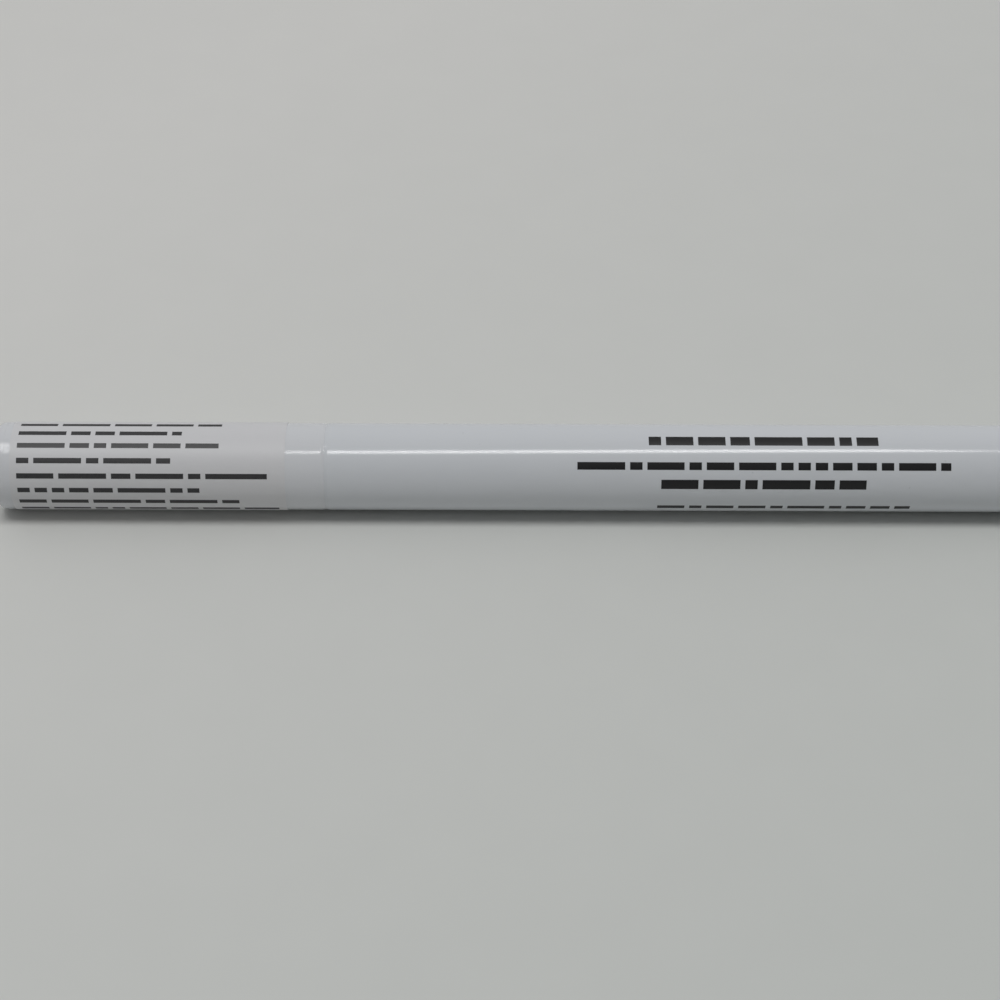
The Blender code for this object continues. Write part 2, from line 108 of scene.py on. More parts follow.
def steadied(outline, near):
    """The outline with a point close to each end of its long stretches, to hold the shading."""
    points = [outline[0]]
    shortest_held = 4 * near
    for (x0, r0), (x1, r1) in zip(outline, outline[1:]):
        length = math.hypot(x1 - x0, r1 - r0)
        if length > shortest_held:
            share = near / length
            points.append((x0 + (x1 - x0) * share, r0 + (r1 - r0) * share))
            points.append((x1 - (x1 - x0) * share, r1 - (r1 - r0) * share))
        points.append((x1, r1))
    return points


def turned(name, outline, ease=easing, sides=turned_sides):
    """Spins an outline about the pen's axis and eases its sharp rings.

    An outline that starts off the axis is closed on itself, as a tube's section is.
    """
    closed = outline[0][1] > 0
    points = steadied(outline + outline[:1] if closed else outline, held_eases * ease)
    bpy.ops.object.select_all(action="DESELECT")
    x, radius = points[0]
    bpy.ops.mesh.primitive_plane_add(size=easing, location=(x, 0, axis_height + radius))
    made = bpy.context.object
    made.name = made.data.name = name
    bpy.ops.object.transform_apply()
    bpy.ops.object.mode_set(mode="EDIT")
    bpy.ops.mesh.select_mode(type="VERT")
    bpy.ops.mesh.merge(type="CENTER")
    for next_x, next_radius in points[1:]:
        step = (next_x - x, 0, next_radius - radius)
        bpy.ops.mesh.extrude_region_move(TRANSFORM_OT_translate={"value": step})
        x, radius = next_x, next_radius
    bpy.ops.mesh.select_all(action="SELECT")
    bpy.ops.mesh.remove_doubles(threshold=joined_within)
    bpy.ops.mesh.spin(steps=sides, angle=math.tau, center=(0, 0, axis_height), axis=(1, 0, 0))
    bpy.ops.mesh.select_all(action="SELECT")
    bpy.ops.mesh.remove_doubles(threshold=joined_within)
    bpy.ops.mesh.normals_make_consistent(inside=False)
    bpy.ops.mesh.select_all(action="DESELECT")
    bpy.ops.mesh.select_mode(type="EDGE")
    bpy.ops.mesh.edges_select_sharp(sharpness=sharp_from)
    bpy.ops.mesh.bevel(offset=ease, segments=3, affect="EDGES", clamp_overlap=True)
    bpy.ops.object.mode_set(mode="OBJECT")
    bpy.ops.object.shade_smooth_by_angle(angle=smooth_below)
    return made


def tight_edge(face, outwards, radius=tube_radius):
    """Outline of a tube's outer edge, rounded by a hair, from its end face on.

    outwards is 1 where the tube's body lies towards +X of its face, and -1 for the other.
    """
    points = []
    for step in range(joint_steps + 1):
        angle = math.pi / 2 * step / joint_steps
        x = face + outwards * joint_round * (1 - math.cos(angle))
        points.append((x, radius - joint_round * (1 - math.sin(angle))))
    points.append((face + outwards * 2 * joint_round, radius))
    return points


def chamfered_edge(face, outwards):
    """The same at the seam, where a long, shallow chamfer follows the tight edge."""
    points = tight_edge(face, outwards, tube_radius - seam_depth)
    start = 2 * joint_round
    for run in (start + seam_hold, seam_length - seam_hold, seam_length):
        depth = seam_depth * (seam_length - run) / (seam_length - start)
        points.append((face + outwards * run, tube_radius - depth))
    points.append((face + outwards * (seam_length + seam_hold), tube_radius))
    return points


def group_of(name, inputs, outputs):
    """A new shader node group with its sockets: {name: (kind, value)} in, {name: kind} out."""
    made = bpy.data.node_groups.new(name, "ShaderNodeTree")
    for label, (kind, value) in inputs.items():
        socket = made.interface.new_socket(label, in_out="INPUT", socket_type="NodeSocket" + kind)
        if value is not None:
            socket.default_value = value
    for label, kind in outputs.items():
        made.interface.new_socket(label, in_out="OUTPUT", socket_type="NodeSocket" + kind)
    return made, made.nodes.new("NodeGroupInput").outputs, made.nodes.new("NodeGroupOutput").inputs


def node(tree, kind, inputs, **settings):
    """A node with its settings made and its sockets filled, by value or by link."""
    made = tree.nodes.new("ShaderNode" + kind)
    for label, value in settings.items():
        setattr(made, label, value)
    for socket, value in inputs.items():
        if isinstance(value, bpy.types.NodeSocket):
            tree.links.new(value, made.inputs[socket])
        else:
            made.inputs[socket].default_value = value
    return made.outputs


def stretched(tree, vector, scale):
    return node(tree, "Mapping", {"Vector": vector, "Scale": scale})["Vector"]


def ranged(tree, value, low, high):
    """A value between 0 and 1 brought into the range from low to high."""
    return node(tree, "MapRange", {"Value": value, "To Min": low, "To Max": high})["Result"]


def product(tree, first, second):
    return node(tree, "Math", {0: first, 1: second}, operation="MULTIPLY")["Value"]


def worked_in(tree, mask, amount, value):
    """A value with a mask added to it, by an amount."""
    return node(tree, "Math", {0: mask, 1: amount, 2: value}, operation="MULTIPLY_ADD")["Value"]


def shade(tree, colour, share):
    """A colour made lighter or darker by a factor."""
    return node(tree, "VectorMath", {0: colour, "Scale": share}, operation="SCALE")["Vector"]


# Handled plastic: slow shade changes of the melt, hairlines from a hand and a make-up bag,
# and dust. Colour and Roughness come out with them worked in, Height goes to a Bump node.
hairline_roughness = 0.25
hairline_height = -0.15
dust_roughness = 0.4
dust_height = 0.3
dust_shade = 0.82
handled, given, out = group_of(
    "handled_plastic",
    {
        "Vector": ("Vector", None),
        "Colour": ("Color", (0.6, 0.6, 0.6, 1)),
        "Roughness": ("Float", 0.1),
        "Hairlines": ("Float", 0.5),
        "Dust": ("Float", 0.5),
    },
    {"Colour": "Color", "Roughness": "Float", "Height": "Float"},
)
melt_place = stretched(handled, given["Vector"], (0.35, 1, 1))
melt = node(handled, "TexNoise", {"Vector": melt_place, "Scale": 130, "Detail": 2})["Fac"]
melt_share = ranged(handled, melt, 0.985, 1.015)
line_place = stretched(handled, given["Vector"], (130, 2600, 2600))
lines = node(
    handled, "TexVoronoi", {"Vector": line_place, "Scale": 1}, feature="DISTANCE_TO_EDGE"
)["Distance"]
line_mask = node(
    handled, "MapRange", {"Value": lines, "From Max": 0.03, "To Min": 1, "To Max": 0}
)["Result"]
patch = node(handled, "TexNoise", {"Vector": given["Vector"], "Scale": 420, "Detail": 3})["Fac"]
patch_mask = node(
    handled, "MapRange", {"Value": patch, "From Min": 0.52, "From Max": 0.68}
)["Result"]
hairlines = product(handled, product(handled, line_mask, patch_mask), given["Hairlines"])
specks = node(handled, "TexVoronoi", {"Vector": given["Vector"], "Scale": 420})["Distance"]
speck_mask = node(
    handled,
    "MapRange",
    {"Value": specks, "From Min": 0.03, "From Max": 0.055, "To Min": 1, "To Max": 0},
)["Result"]
speck_mask = product(handled, speck_mask, given["Dust"])
speck_share = ranged(handled, speck_mask, 1, dust_shade)
both = product(handled, melt_share, speck_share)
handled.links.new(shade(handled, given["Colour"], both), out["Colour"])
rougher = worked_in(handled, hairlines, hairline_roughness, given["Roughness"])
rougher = worked_in(handled, speck_mask, dust_roughness, rougher)
handled.links.new(rougher, out["Roughness"])
ripple = node(handled, "TexNoise", {"Vector": melt_place, "Scale": 260, "Detail": 1})["Fac"]
height = worked_in(handled, hairlines, hairline_height, ripple)
height = worked_in(handled, speck_mask, dust_height, height)
handled.links.new(height, out["Height"])


def material_of(name, uniform):
    """A material with its Principled shader's uniform sockets set, and Object coordinates."""
    made = bpy.data.materials.new(name)
    made.use_nodes = True
    shader = made.node_tree.nodes["Principled BSDF"]
    for socket, value in uniform.items():
        shader.inputs[socket].default_value = value
    place = made.node_tree.nodes.new("ShaderNodeTexCoord").outputs["Object"]
    return made, made.node_tree, shader.inputs, place


def bumped(tree, height, distance, strength=1.0):
    inputs = {"Height": height, "Distance": distance, "Strength": strength}
    return node(tree, "Bump", inputs)["Normal"]


def plastic(name, colour, roughness, hairlines, dust, ripple_depth, uniform):
    """A moulded plastic with the handled finish."""
    made, tree, shader, place = material_of(name, uniform)
    finish = tree.nodes.new("ShaderNodeGroup")
    finish.node_tree = handled
    tree.links.new(place, finish.inputs["Vector"])
    finish.inputs["Colour"].default_value = (*colour, 1)
    finish.inputs["Roughness"].default_value = roughness
    finish.inputs["Hairlines"].default_value = hairlines
    finish.inputs["Dust"].default_value = dust
    tree.links.new(finish.outputs["Colour"], shader["Base Color"])
    tree.links.new(finish.outputs["Roughness"], shader["Roughness"])
    tree.links.new(bumped(tree, finish.outputs["Height"], ripple_depth), shader["Normal"])
    return made


def finished(piece, material, slot, body, *nodes):
    """Gives a piece its material and the body it rides on, and hides the nodes it stands for. The
    slot is not used.
    """
    piece.data.materials.clear()
    piece.data.materials.append(material)
    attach(piece, body)
    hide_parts(*nodes)


barrel_white = plastic(
    "barrel_white",
    colour=(0.649, 0.672, 0.703),
    roughness=0.13,
    hairlines=0.4,
    dust=0.8,
    ripple_depth=0.0000006,
    uniform={"IOR": 1.45, "Specular IOR Level": 0.27},
)
bore = tube_radius - wall
tank = bore - tank_step
tank_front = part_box("tank_bung")[0].x - tank_lead
barrel_front = barrel_low.x - seam_reach
outline = [(barrel_front, bore + mouth_lead)]
outline += chamfered_edge(barrel_front, 1)
outline += reversed(tight_edge(barrel_high.x, -1))
outline += [
    (barrel_high.x, tank),
    (tank_front, tank),
    (tank_front, bore),
    (barrel_front + mouth_lead, bore),
]
barrel = turned("barrel_tube", outline)
finished(barrel, barrel_white, "white_gloss", "pen", "barrel")

# Tail plug
# The button that closes the barrel, of the same white plastic. It is pressed in on a
# hollow spigot with two ring grooves, and its flat end keeps the small dimple of the gate
# that it was moulded through.
button_round = 0.0010
rim_steps = 8
gate_radius = 0.0007
gate_depth = 0.00008
plug_slack = 0.00005
groove_depth = 0.0003
groove_width = 0.0010
floor_depth = 0.0002


def rounded_rim(face, inwards):
    """Outline of a button from its moulded centre out to its rounded rim.

    inwards is 1 where the button's body lies towards +X of its flat face, and -1 for the other.
    """
    dimple = face + inwards * gate_depth
    points = [(dimple, 0), (dimple, gate_radius - gate_depth), (face, gate_radius)]
    for step in range(rim_steps + 1):
        angle = math.pi / 2 * step / rim_steps
        x = face + inwards * button_round * (1 - math.cos(angle))
        points.append((x, tube_radius - button_round * (1 - math.sin(angle))))
    return points


def ring_grooves(radius, depth, width, centres):
    """Outline points of ring grooves, from the front one to the rear one."""
    points = []
    for centre in centres:
        points += [(centre - width / 2, radius), (centre - width / 2 + depth / 2, radius - depth)]
        points += [(centre + width / 2 - depth / 2, radius - depth), (centre + width / 2, radius)]
    return points


plug_low, plug_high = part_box("tail_plug")
button_face = barrel_high.x + joint_gap
plug_radius = tank - plug_slack
hollow = plug_radius - wall
spigot = button_face - plug_low.x
spigot_grooves = (plug_low.x + spigot / 3, plug_low.x + spigot * 2 / 3)
hollow_floor = button_face - floor_depth
outline = rounded_rim(plug_high.x, -1)
outline += reversed(tight_edge(button_face, 1))
outline.append((button_face, plug_radius))
outline += reversed(ring_grooves(plug_radius, groove_depth, groove_width, spigot_grooves))
outline += [
    (plug_low.x + groove_depth, plug_radius),
    (plug_low.x, plug_radius - groove_depth),
    (plug_low.x, hollow),
    (hollow_floor, hollow),
    (hollow_floor, 0),
]
tail_plug = turned("tail_button", outline)
finished(tail_plug, barrel_white, "white_gloss", "pen", "tail_plug")

# Front section
# The black grip that the cap hides: a cone that holds the nib, a shoulder, and a long neck
# with the low bead that the cap snaps over. It is polished and pressed into the barrel.
section_black = plastic(
    "section_black",
    colour=(0.012, 0.012, 0.013),
    roughness=0.16,
    hairlines=0.6,
    dust=0.5,
    ripple_depth=0.000003,
    uniform={"IOR": 1.49},
)
section_low, section_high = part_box("front_section")
nose_radius = 0.0018
cone_radius = 0.0022
cone_length = 0.0084
neck_step = 0.0003
neck_radius = bore - neck_step
neck_chamfer = 0.0005
bead_height = 0.0001
bead_width = 0.0010
bead_setback = 0.0052
neck_entry = 0.0006
section_wall = 0.0008
nose_bore = 0.00135
grip_groove_depth = 0.00025
grip_groove_width = 0.0009
collector_gap = 0.0001
shoulder = section_low.x + cone_length
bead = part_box("cap_shell")[1].x - bead_setback
entry = barrel_low.x + neck_entry
spigot_radius = bore - plug_slack
grip = section_high.x - entry
grip_grooves = (entry + grip / 3, entry + grip * 2 / 3)
hollow_radius = neck_radius - section_wall
hollow_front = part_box("collector")[0].x - collector_gap
outline = [
    (section_low.x, nose_bore),
    (section_low.x, nose_radius - easing),
    (section_low.x + easing, nose_radius),
    (shoulder, cone_radius),
    (shoulder, neck_radius - neck_chamfer),
    (shoulder + neck_chamfer, neck_radius),
    (bead - bead_width / 2, neck_radius),
    (bead - bead_width / 4, neck_radius + bead_height * 3 / 4),
    (bead, neck_radius + bead_height),
    (bead + bead_width / 4, neck_radius + bead_height * 3 / 4),
    (bead + bead_width / 2, neck_radius),
    (entry, neck_radius),
    (entry, spigot_radius),
]
outline += ring_grooves(spigot_radius, grip_groove_depth, grip_groove_width, grip_grooves)
outline += [
    (section_high.x, spigot_radius),
    (section_high.x, hollow_radius),
    (hollow_front, hollow_radius),
    (hollow_front, nose_bore),
]
section = turned("grip_section", outline)
finished(section, section_black, "black_gloss", "pen", "front_section")

# Nib sleeve
# A small flanged tube of the same black plastic, pushed into the cone's nose round the nib.
sleeve_low, sleeve_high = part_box("nib_sleeve")
sleeve_bore = 0.00095
sleeve_radius = 0.0013
sleeve_head = 0.0005
sleeve_lip = 0.00022
sleeve_easing = 0.00004
fine_sides = 64
outline = [
    (sleeve_low.x, sleeve_bore),
    (sleeve_low.x, sleeve_radius + sleeve_lip),
    (sleeve_low.x + sleeve_head, sleeve_radius + sleeve_lip),
    (sleeve_low.x + sleeve_head, sleeve_radius),
    (sleeve_high.x, sleeve_radius),
    (sleeve_high.x, sleeve_bore),
]
sleeve = turned("nib_collar", outline, sleeve_easing, fine_sides)
finished(sleeve, section_black, "black_gloss", "pen", "nib_sleeve")

# Nib
# A rod of bonded felt, ground to a long point and soaked black. Its fibres run along it.
nib_low, nib_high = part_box("nib")
nib_radius = 0.0009
nib_taper = 0.0047
nib_point = 0.00006
nib_rounding = 0.00004
nib_easing = 0.00003
taper_steps = 14
fibre_depth = 0.00003

fibres, given, out = group_of(
    "drawn_fibres",
    {
        "Vector": ("Vector", None),
        "Dark": ("Color", (0.01, 0.01, 0.01, 1)),
        "Light": ("Color", (0.03, 0.03, 0.03, 1)),
    },
    {"Colour": "Color", "Height": "Float"},
)
strand_place = stretched(fibres, given["Vector"], (1200, 16000, 16000))
strands = node(fibres, "TexNoise", {"Vector": strand_place, "Scale": 1, "Detail": 3})["Fac"]
wet = node(fibres, "TexNoise", {"Vector": given["Vector"], "Scale": 900, "Detail": 2})["Fac"]
strand_share = node(
    fibres, "MapRange", {"Value": strands, "From Min": 0.35, "From Max": 0.7}
)["Result"]
tone = product(fibres, strand_share, wet)
tinted = node(
    fibres, "Mix", {"Factor": tone, "A": given["Dark"], "B": given["Light"]}, data_type="RGBA"
)
fibres.links.new(tinted["Result"], out["Colour"])
fibres.links.new(strands, out["Height"])


def fibre(name, dark, light, roughness):
    """A bonded fibre rod's material."""
    made, tree, shader, place = material_of(name, {"Roughness": roughness, "Sheen Weight": 0.15})
    finish = tree.nodes.new("ShaderNodeGroup")
    finish.node_tree = fibres
    tree.links.new(place, finish.inputs["Vector"])
    finish.inputs["Dark"].default_value = (*dark, 1)
    finish.inputs["Light"].default_value = (*light, 1)
    tree.links.new(finish.outputs["Colour"], shader["Base Color"])
    tree.links.new(bumped(tree, finish.outputs["Height"], fibre_depth), shader["Normal"])
    return made


nib_felt = fibre(
    "nib_felt", dark=(0.006, 0.006, 0.007), light=(0.045, 0.044, 0.048), roughness=0.62
)
outline = [(nib_low.x, 0)]
for step in range(taper_steps + 1):
    share = step / taper_steps
    swell = (share + math.sin(share * math.pi / 2)) / 2
    radius = nib_point + (nib_radius - nib_point) * swell
    outline.append((nib_low.x + nib_rounding + nib_taper * share, radius))
outline += [(nib_high.x, nib_radius), (nib_high.x, 0)]
nib = turned("felt_nib", outline, nib_easing, fine_sides)
finished(nib, nib_felt, "nib_felt", "pen", "nib")

# Feed wick, collector, bung and mixing balls
# What works inside the pen and never shows: a fibre rod from the tank to the nib, a finned
# buffer and a bung of milky plastic, and two loose steel balls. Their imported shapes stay.
wick_fibre = fibre(
    "wick_fibre", dark=(0.012, 0.012, 0.013), light=(0.070, 0.068, 0.070), roughness=0.85
)
milky_plastic = plastic(
    "milky_plastic",
    colour=(0.70, 0.71, 0.70),
    roughness=0.36,
    hairlines=0.4,
    dust=0.1,
    ripple_depth=0.000006,
    uniform={"IOR": 1.49, "Subsurface Weight": 0.25, "Subsurface Scale": 0.001},
)
ball_steel, tree, shader, place = material_of("ball_steel", {"Metallic": 1.0})
smear = node(tree, "TexNoise", {"Vector": place, "Scale": 900, "Detail": 4})["Fac"]
ball_tone = ranged(tree, smear, 0.92, 1.06)
tree.links.new(shade(tree, (0.60, 0.60, 0.62), ball_tone), shader["Base Color"])
tree.links.new(ranged(tree, smear, 0.06, 0.22), shader["Roughness"])
for name, inside in (
    ("feed_wick", wick_fibre),
    ("collector", milky_plastic),
    ("tank_bung", milky_plastic),
    ("mixing_ball_front", ball_steel),
    ("mixing_ball_rear", ball_steel),
):
    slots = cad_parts[name].data.materials
    slots.clear()
    slots.append(inside)

# Inner cap
# A closed tube of milky plastic that rides loose in the cap and seals on the cone, with a
# narrow end for the spring and a flange that stops on the cap's ledge.
inner_low, inner_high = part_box("inner_cap")
tip_bore = 0.0016
tip_tube = 0.0021
inner_radius = 0.0028
inner_easing = 0.00005
inner_sides = 96
flange_slack = 0.00015
flange_setback = 0.0047
flange_width = 0.0010
seal_setback = 0.0062
seal_land = 0.0007
seal_chamfer = 0.0003
seal_slack = 0.0001
tip_wall = 0.0006
flange_radius = bore - flange_slack
flange = inner_low.x + flange_setback
flange_rear = flange + flange_width
seal = inner_low.x + seal_setback
seal_radius = nose_radius + seal_slack
tip_floor = inner_low.x + tip_wall
outline = [
    (inner_low.x, 0),
    (inner_low.x, tip_tube),
    (flange, tip_tube),
    (flange, flange_radius),
    (flange_rear, flange_radius),
    (flange_rear, inner_radius),
    (inner_high.x, inner_radius),
    (inner_high.x, cone_radius + seal_slack),
    (seal + seal_land, seal_radius),
    (seal, seal_radius),
    (seal - seal_chamfer, tip_bore),
    (tip_floor, tip_bore),
    (tip_floor, 0),
]
inner_cap = turned("inner_cap_tube", outline, inner_easing, inner_sides)
finished(inner_cap, milky_plastic, "milky_plastic", "sealing_cap", "inner_cap")

# Cap spring
# A coil of steel wire between the cap's end plug and the inner cap's flange. In the pen it
# shortens as the inner cap is pressed in; this coil keeps its length and rides on the cap.
spring_low, spring_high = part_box("cap_spring")
wire_radius = 0.0002
coil_radius = (spring_high.y - spring_low.y) / 2 - wire_radius
wire_sides = 12
wire_smooth_below = math.radians(50)
coil_turns = 5
coil_steps = 48
coil_reach = spring_high.x - spring_low.x - 2 * wire_radius
spring_steel, tree, shader, place = material_of("spring_steel", {"Metallic": 1.0})
drawn = node(tree, "TexNoise", {"Vector": place, "Scale": 5200, "Detail": 3})["Fac"]
wire_tone = ranged(tree, drawn, 0.88, 1.08)
tree.links.new(shade(tree, (0.55, 0.55, 0.56), wire_tone), shader["Base Color"])
tree.links.new(ranged(tree, drawn, 0.18, 0.34), shader["Roughness"])
bpy.ops.object.select_all(action="DESELECT")
bpy.ops.mesh.primitive_circle_add(
    vertices=wire_sides,
    radius=wire_radius,
    location=(spring_low.x + wire_radius, 0, axis_height),
    rotation=(math.pi / 2, 0, 0),
)
spring = bpy.context.object
spring.name = spring.data.name = "coil_spring"
bpy.ops.object.transform_apply(location=False)
bpy.ops.object.mode_set(mode="EDIT")
bpy.ops.transform.translate(value=(0, 0, coil_radius))
bpy.ops.object.mode_set(mode="OBJECT")
winding = spring.modifiers.new("winding", "SCREW")
winding.axis = "X"
winding.angle = math.tau * coil_turns
winding.screw_offset = coil_reach
winding.steps = winding.render_steps = coil_steps * coil_turns
winding.use_merge_vertices = False
bpy.ops.object.modifier_apply(modifier="winding")
bpy.ops.object.transform_apply()
bpy.ops.object.mode_set(mode="EDIT")
bpy.ops.mesh.select_mode(type="EDGE")
bpy.ops.mesh.select_all(action="DESELECT")
bpy.ops.mesh.select_non_manifold()
bpy.ops.mesh.edge_face_add()
bpy.ops.mesh.select_all(action="SELECT")
bpy.ops.mesh.normals_make_consistent(inside=False)
bpy.ops.object.mode_set(mode="OBJECT")
bpy.ops.object.shade_smooth_by_angle(angle=wire_smooth_below)
finished(spring, spring_steel, "spring_steel", "cap", "cap_spring")
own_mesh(spring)

# Cap shell
# The cap's tube, of a white plastic that reflects a little less than the barrel's. Its mouth
# is chamfered. Inside it has the ledge that keeps the inner cap in and the groove that
# snaps over the neck's bead.
cap_white = plastic(
    "cap_white",
    colour=(0.662, 0.677, 0.703),
    roughness=0.12,
    hairlines=0.5,
    dust=0.7,
    ripple_depth=0.000001,
    uniform={"IOR": 1.45, "Specular IOR Level": 0.18},
)
shell_low, shell_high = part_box("cap_shell")
cap_mouth = shell_high.x + seam_reach
ledge_setback = 0.0113
ledge_depth = 0.0010
ledge_slope = 0.0006
ledge_slack = 0.00015
snap_shoulder = 0.00004
snap_depth = 0.00006
ledge = shell_low.x + ledge_setback
ledge_radius = inner_radius + ledge_slack
snap_groove = shell_high.x - bead_setback
outline = [(shell_low.x, bore)]
outline += tight_edge(shell_low.x, 1)
outline += reversed(chamfered_edge(cap_mouth, -1))
outline += [
    (cap_mouth, bore + mouth_lead),
    (cap_mouth - mouth_lead, bore),
    (snap_groove + bead_width, bore),
    (snap_groove + bead_width / 2, bore + snap_shoulder),
    (snap_groove, bore + snap_depth),
    (snap_groove - bead_width / 2, bore),
    (ledge + ledge_depth + ledge_slope, bore),
    (ledge + ledge_depth, ledge_radius),
    (ledge, ledge_radius),
    (ledge, bore),
]
shell = turned("cap_tube", outline)
finished(shell, cap_white, "white_gloss", "cap", "cap_shell")

# Cap end plug
# The button that closes the cap, pressed in flush with the shell. Inside, a short hollow
# boss centres the spring.
end_low, end_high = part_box("cap_end_plug")
end_face = shell_low.x - joint_gap
end_spigot = bore - plug_slack
end_thickness = 0.0012
boss_length = 0.0012
boss_step = 0.0004
boss_wall = 0.0007
spring_seat = end_high.x - boss_length
boss_radius = tip_tube + boss_step
boss_hollow = boss_radius - boss_wall
boss_floor = end_low.x + end_thickness
outline = rounded_rim(end_low.x, 1)
outline += reversed(tight_edge(end_face, -1))
outline += [
    (end_face, end_spigot),
    (spring_seat, end_spigot),
    (spring_seat, boss_radius),
    (end_high.x, boss_radius),
    (end_high.x, boss_hollow),
    (boss_floor, boss_hollow),
    (boss_floor, 0),
]
end_plug = turned("cap_button", outline)
finished(end_plug, cap_white, "white_gloss", "cap", "cap_end_plug")

# Wrapped film
# A thin matte film glued round the cap. Its two long edges stop short of each other
# underneath, where a strip of the shell stays bare.
film_low, film_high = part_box("wrap_label")
film_thickness = 0.00005
film_lift = 0.000003
film_inside = tube_radius + film_lift
film_outside = film_inside + film_thickness
film_facets = 192
film_open = math.radians(33.75)
film_end = 0.0002
film_grain_depth = 0.000004
film_uniform = {"IOR": 1.45, "Specular IOR Level": 0.2}
film_white, tree, shader, place = material_of("film_white", film_uniform)
film_grain = node(tree, "TexNoise", {"Vector": place, "Scale": 9000, "Detail": 3})["Fac"]
film_cloud = node(tree, "TexNoise", {"Vector": place, "Scale": 700, "Detail": 3})["Fac"]
grain_share = ranged(tree, film_grain, 0.975, 1.025)
film_share = product(tree, grain_share, ranged(tree, film_cloud, 0.985, 1.015))
tree.links.new(shade(tree, (0.662, 0.664, 0.680), film_share), shader["Base Color"])
tree.links.new(ranged(tree, film_cloud, 0.38, 0.50), shader["Roughness"])
tree.links.new(bumped(tree, film_grain, film_grain_depth), shader["Normal"])


def select_where(piece, chosen):
    """Selects, in edit mode, the vertices whose place passes the test, and what they bound."""
    mesh = bmesh.from_edit_mesh(piece.data)
    for vert in mesh.verts:
        vert.select_set(chosen(vert.co))
    mesh.select_flush_mode()
    bmesh.update_edit_mesh(piece.data)


bpy.ops.object.select_all(action="DESELECT")
bpy.ops.mesh.primitive_circle_add(
    vertices=film_facets,
    radius=film_inside,
    location=(film_low.x, 0, axis_height),
    rotation=(0, math.pi / 2, 0),
)
film = bpy.context.object
film.name = film.data.name = "cap_film"
bpy.ops.object.transform_apply()
bpy.ops.object.mode_set(mode="EDIT")
bpy.ops.mesh.select_mode(type="VERT")
open_below = axis_height - film_outside * math.cos(film_open)
select_where(film, lambda co: co.z < open_below)
bpy.ops.mesh.delete(type="VERT")
bpy.ops.mesh.select_all(action="SELECT")
film_length = film_high.x - film_low.x
for run in (film_end, film_length - 2 * film_end, film_end):
    bpy.ops.mesh.extrude_region_move(TRANSFORM_OT_translate={"value": (run, 0, 0)})
bpy.ops.object.mode_set(mode="OBJECT")
first = film.data.polygons[0]
if first.normal.dot(first.center - Vector((0, 0, axis_height))) < 0:
    film.data.flip_normals()
thickness = film.modifiers.new("thickness", "SOLIDIFY")
thickness.thickness = film_thickness
thickness.offset = 1
bpy.ops.object.modifier_apply(modifier="thickness")
bpy.ops.object.shade_smooth_by_angle(angle=smooth_below)
finished(film, film_white, "white_film", "cap", "wrap_label")

# Print
# Both printed blocks are replaced by plain bars in rows, which say nothing: eight ragged
# rows wrapped round the film, and four centred rows along the barrel. The ink lies a
# hundredth of a millimetre proud.
ink_thickness = 0.00001
ink_gloss_spread = 0.15
print_facets = 720
bar_gap = 0.00055
bar_corner = 0.00012
shortest_bar = 0.0010
bar_lengths = (0.0014, 0.0022, 0.0031, 0.0042, 0.0054)


def ink(name, colour, dullest):
    """Black ink with a slightly patchy lay."""
    made, tree, shader, place = material_of(name, {"IOR": 1.4})
    patch = node(tree, "TexNoise", {"Vector": place, "Scale": 5000, "Detail": 4})["Fac"]
    tree.links.new(shade(tree, colour, ranged(tree, patch, 0.6, 1.5)), shader["Base Color"])
    gloss = ranged(tree, patch, dullest - ink_gloss_spread, dullest)
    tree.links.new(gloss, shader["Roughness"])
    return made


film_ink = ink("film_ink", colour=(0.034, 0.034, 0.036), dullest=0.6)
barrel_ink = ink("barrel_ink", colour=(0.008, 0.008, 0.009), dullest=0.45)


def bar_run(start, length, draw):
    """Bar ends along one row, in a reader's rhythm of long and short: [(from, to), ...]."""
    runs, x, end = [], start, start + length
    while end - x > shortest_bar:
        stop = min(x + draw.choice(bar_lengths), end)
        if end - stop < shortest_bar + bar_gap:
            stop = end
        runs.append((x, stop))
        x = stop + bar_gap
    return runs


